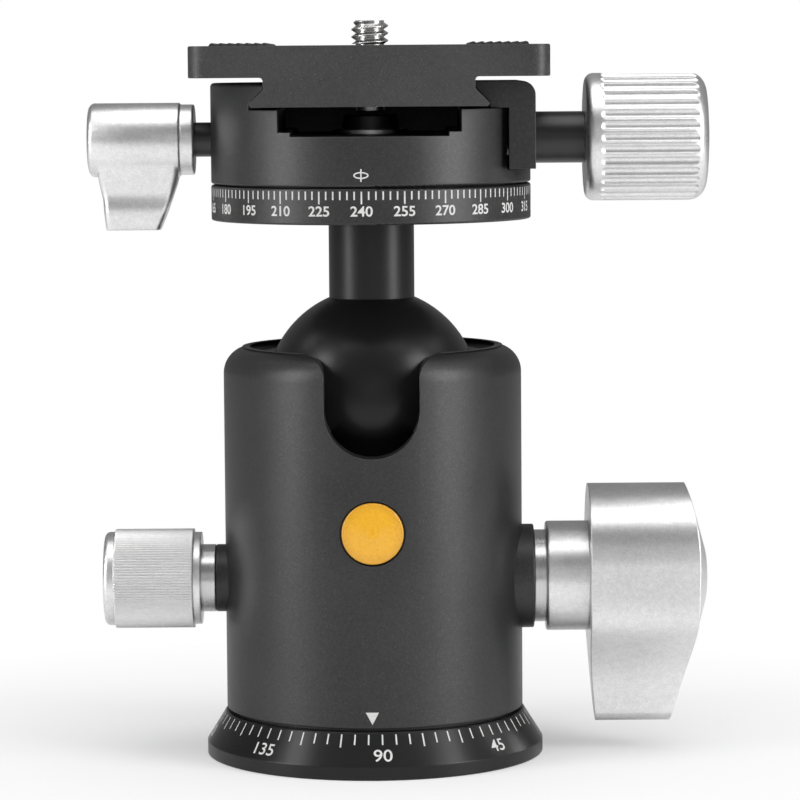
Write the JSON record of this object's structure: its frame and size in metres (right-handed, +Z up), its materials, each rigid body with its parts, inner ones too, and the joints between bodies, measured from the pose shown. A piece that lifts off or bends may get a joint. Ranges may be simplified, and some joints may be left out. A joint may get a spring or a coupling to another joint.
{
  "type": "tripod ball head",
  "caption": "Black tripod ball head with silver knobs, graduated panning base and panning quick-release clamp with its plate",
  "frame": {"origin": "centre of the flat underside of the base ring, on the axis of the head", "axes": "+Z up along the head's axis, -Y to the front where the notch and badge are, +X to the main knob"},
  "size_m": [0.1065, 0.0584, 0.1267],
  "materials": {
    "black_anodised": "fine-blasted black anodised aluminium, satin",
    "ball_coat": "black hard-anodised ball, smooth satin",
    "silver_blasted": "bead-blasted silver anodised aluminium",
    "stainless_steel": "turned stainless steel",
    "black_steel": "black oxide steel",
    "black_acetal": "black acetal, matte",
    "brass": "machined brass",
    "rubber": "black ribbed rubber",
    "gold_enamel": "golden orange domed enamel, glossy"
  },
  "bodies": {
    "base": {"base_ring": "black_anodised", "thread_bush": "stainless_steel", "base_friction_washer": "black_acetal", "retaining_plate": "black_anodised", "retaining_screws": "stainless_steel"},
    "housing": {"housing": "black_anodised", "socket_ring": "black_acetal", "core_block": "black_anodised", "main_knob_bushing": "black_anodised", "pan_lock_bushing": "black_anodised", "badge": "gold_enamel"},
    "pressure_cup": {"pressure_cup": "black_acetal", "cup_carrier": "black_anodised"},
    "main_wedge": {"main_wedge": "stainless_steel"},
    "main_knob": {"main_spindle": "stainless_steel", "main_knob_hub": "silver_blasted", "main_knob_grip": "silver_blasted", "main_knob_cap": "silver_blasted"},
    "pan_lock_wedge": {"pan_lock_wedge": "stainless_steel"},
    "pan_lock_knob": {"pan_lock_spindle": "stainless_steel", "pan_lock_grip": "silver_blasted", "pan_lock_cap": "silver_blasted"},
    "pan_brake_pin": {"pan_brake_pin": "brass"},
    "ball_lean": {"stem_lock_pin": "stainless_steel"},
    "ball_tilt": {"stem_stud": "stainless_steel", "stem_nut": "stainless_steel"},
    "ball": {"ball": "ball_coat", "neck": "black_anodised", "pan_disc": "black_anodised", "centre_screw": "black_steel"},
    "clamp": {"clamp_body": "black_anodised", "clamp_friction_washer": "black_acetal", "centre_screw_washer": "stainless_steel", "jaw_guide_pins": "stainless_steel", "jaw_springs": "stainless_steel"},
    "brake_shoe": {"clamp_brake_shoe": "brass"},
    "pan_lever": {"lever_screw": "black_steel", "lever_collar": "silver_blasted", "pan_lever": "silver_blasted"},
    "jaw": {"clamp_jaw": "black_anodised"},
    "clamp_knob": {"clamp_spindle": "black_steel", "clamp_knob": "silver_blasted"},
    "plate": {"release_plate": "black_anodised", "rubber_pad_left": "rubber", "rubber_pad_right": "rubber"},
    "camera_screw": {"camera_screw": "stainless_steel"}
  },
  "joints": [
    {"name": "base_pan", "type": "hinge", "parent": "base", "child": "housing", "pos_m": [0, 0, 0.0076], "axis": [0, 0, 1], "continuous": true},
    {"name": "main_wedge_slide", "type": "slide", "parent": "housing", "child": "main_wedge", "axis": [1, 0, 0], "range_m": [0, 0.00112]},
    {"name": "main_knob_turn", "type": "hinge", "parent": "main_wedge", "child": "main_knob", "pos_m": [0, 0, 0.0304], "axis": [1, 0, 0], "range_deg": [0, 270]},
    {"name": "cup_lift", "type": "slide", "parent": "housing", "child": "pressure_cup", "axis": [0, 0, 1], "range_m": [-0.0002813, 0]},
    {"name": "pan_wedge_slide", "type": "slide", "parent": "housing", "child": "pan_lock_wedge", "axis": [-1, 0, 0], "range_m": [0, 0.00125]},
    {"name": "pan_knob_turn", "type": "hinge", "parent": "pan_lock_wedge", "child": "pan_lock_knob", "pos_m": [0, 0, 0.0304], "axis": [-1, 0, 0], "range_deg": [0, 360]},
    {"name": "brake_pin_lift", "type": "slide", "parent": "housing", "child": "pan_brake_pin", "axis": [0, 0, 1], "range_m": [0, 0.000501]},
    {"name": "ball_side_lean", "type": "hinge", "parent": "housing", "child": "ball_lean", "pos_m": [0, 0, 0.0622], "axis": [0, 1, 0], "range_deg": [-25, 25]},
    {"name": "ball_front_tilt", "type": "hinge", "parent": "ball_lean", "child": "ball_tilt", "pos_m": [0, 0, 0.0622], "axis": [1, 0, 0], "range_deg": [-25, 90]},
    {"name": "ball_spin", "type": "hinge", "parent": "ball_tilt", "child": "ball", "pos_m": [0, 0, 0.0622], "axis": [0, 0, 1], "continuous": true},
    {"name": "clamp_pan", "type": "hinge", "parent": "ball", "child": "clamp", "pos_m": [0, 0, 0.0988], "axis": [0, 0, 1], "continuous": true},
    {"name": "brake_shoe_slide", "type": "slide", "parent": "clamp", "child": "brake_shoe", "axis": [-1, 0, 0], "range_m": [0, 0.00025]},
    {"name": "pan_lever_turn", "type": "hinge", "parent": "brake_shoe", "child": "pan_lever", "pos_m": [0, 0, 0.1065], "axis": [-1, 0, 0], "range_deg": [0, 90]},
    {"name": "jaw_slide", "type": "slide", "parent": "clamp", "child": "jaw", "axis": [1, 0, 0], "range_m": [0, 0.003], "deforming": ["jaw_springs"]},
    {"name": "clamp_knob_turn", "type": "hinge", "parent": "jaw", "child": "clamp_knob", "pos_m": [0, 0, 0.1065], "axis": [1, 0, 0], "range_deg": [0, 1080]},
    {"name": "plate_slide", "type": "slide", "parent": "clamp", "child": "plate", "axis": [0, 1, 0], "range_m": [-0.015, 0.015]},
    {"name": "camera_screw_turn", "type": "hinge", "parent": "plate", "child": "camera_screw", "pos_m": [0, 0, 0.1224], "axis": [0, 0, 1], "continuous": true}
  ],
  "couplings": [
    {"joint": "main_knob_turn", "follows": "main_wedge_slide", "rad_per_m": 4188.8},
    {"joint": "cup_lift", "follows": "main_wedge_slide", "ratio": -0.25},
    {"joint": "pan_knob_turn", "follows": "pan_wedge_slide", "rad_per_m": 5026.5},
    {"joint": "brake_pin_lift", "follows": "pan_wedge_slide", "ratio": 0.4},
    {"joint": "pan_lever_turn", "follows": "brake_shoe_slide", "rad_per_m": 6283.2},
    {"joint": "clamp_knob_turn", "follows": "jaw_slide", "rad_per_m": 6283.2}
  ]
}
